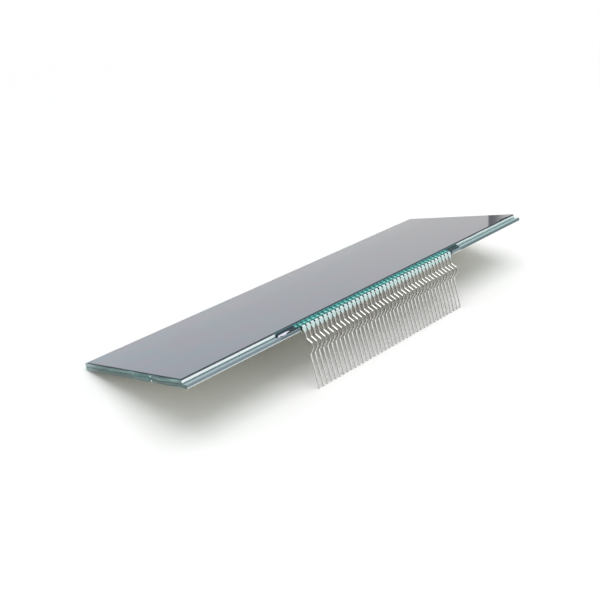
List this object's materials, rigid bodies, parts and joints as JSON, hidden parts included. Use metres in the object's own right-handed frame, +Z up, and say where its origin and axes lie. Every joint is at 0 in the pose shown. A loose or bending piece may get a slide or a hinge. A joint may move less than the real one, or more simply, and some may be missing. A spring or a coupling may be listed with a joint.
{
  "type": "segment lcd display",
  "caption": "Flat glass segment LCD panel with polariser films and one row of clip-on solder pins with stress-relief bends, resting on its pin tips and rear edge.",
  "frame": {"origin": "middle of the bounding box, on the surface that the display rests on", "axes": "+X along the pin row with the fill port on the -X end, +Y from the pin edge towards the rear edge, +Z up; the viewing face is tipped back, so it looks up and towards +Y"},
  "size_m": [0.1576, 0.0584, 0.0192],
  "materials": {
    "front_pane_glass": "clear, ground edges",
    "rear_pane_glass": "clear, ground edges",
    "front_film": "satin anti-glare film",
    "rear_film": "satin reflector backing",
    "seal_epoxy": "matte",
    "liquid_crystal": "clear layer",
    "plug_adhesive": "clear, glossy",
    "conductive_dot": "matte",
    "clip_adhesive": "clear, glossy",
    "tinned_pin": "bright tin plate"
  },
  "bodies": {
    "root": {"front_glass": "front_pane_glass", "rear_glass": "rear_pane_glass", "front_polariser": "front_film", "rear_polariser": "rear_film", "perimeter_seal": "seal_epoxy", "liquid_crystal": "liquid_crystal", "fill_port_seal": "plug_adhesive", "transfer_dot_left": "conductive_dot", "transfer_dot_right": "conductive_dot", "clip_adhesive": "clip_adhesive", "pin_01": "tinned_pin", "pin_02": "tinned_pin", "pin_03": "tinned_pin", "pin_04": "tinned_pin", "pin_05": "tinned_pin", "pin_06": "tinned_pin", "pin_07": "tinned_pin", "pin_08": "tinned_pin", "pin_09": "tinned_pin", "pin_10": "tinned_pin", "pin_11": "tinned_pin", "pin_12": "tinned_pin", "pin_13": "tinned_pin", "pin_14": "tinned_pin", "pin_15": "tinned_pin", "pin_16": "tinned_pin", "pin_17": "tinned_pin", "pin_18": "tinned_pin", "pin_19": "tinned_pin", "pin_20": "tinned_pin", "pin_21": "tinned_pin", "pin_22": "tinned_pin", "pin_23": "tinned_pin", "pin_24": "tinned_pin", "pin_25": "tinned_pin", "pin_26": "tinned_pin", "pin_27": "tinned_pin", "pin_28": "tinned_pin", "pin_29": "tinned_pin", "pin_30": "tinned_pin", "pin_31": "tinned_pin", "pin_32": "tinned_pin", "pin_33": "tinned_pin", "pin_34": "tinned_pin", "pin_35": "tinned_pin", "pin_36": "tinned_pin", "pin_37": "tinned_pin", "pin_38": "tinned_pin", "pin_39": "tinned_pin", "pin_40": "tinned_pin"}
  },
  "joints": []
}
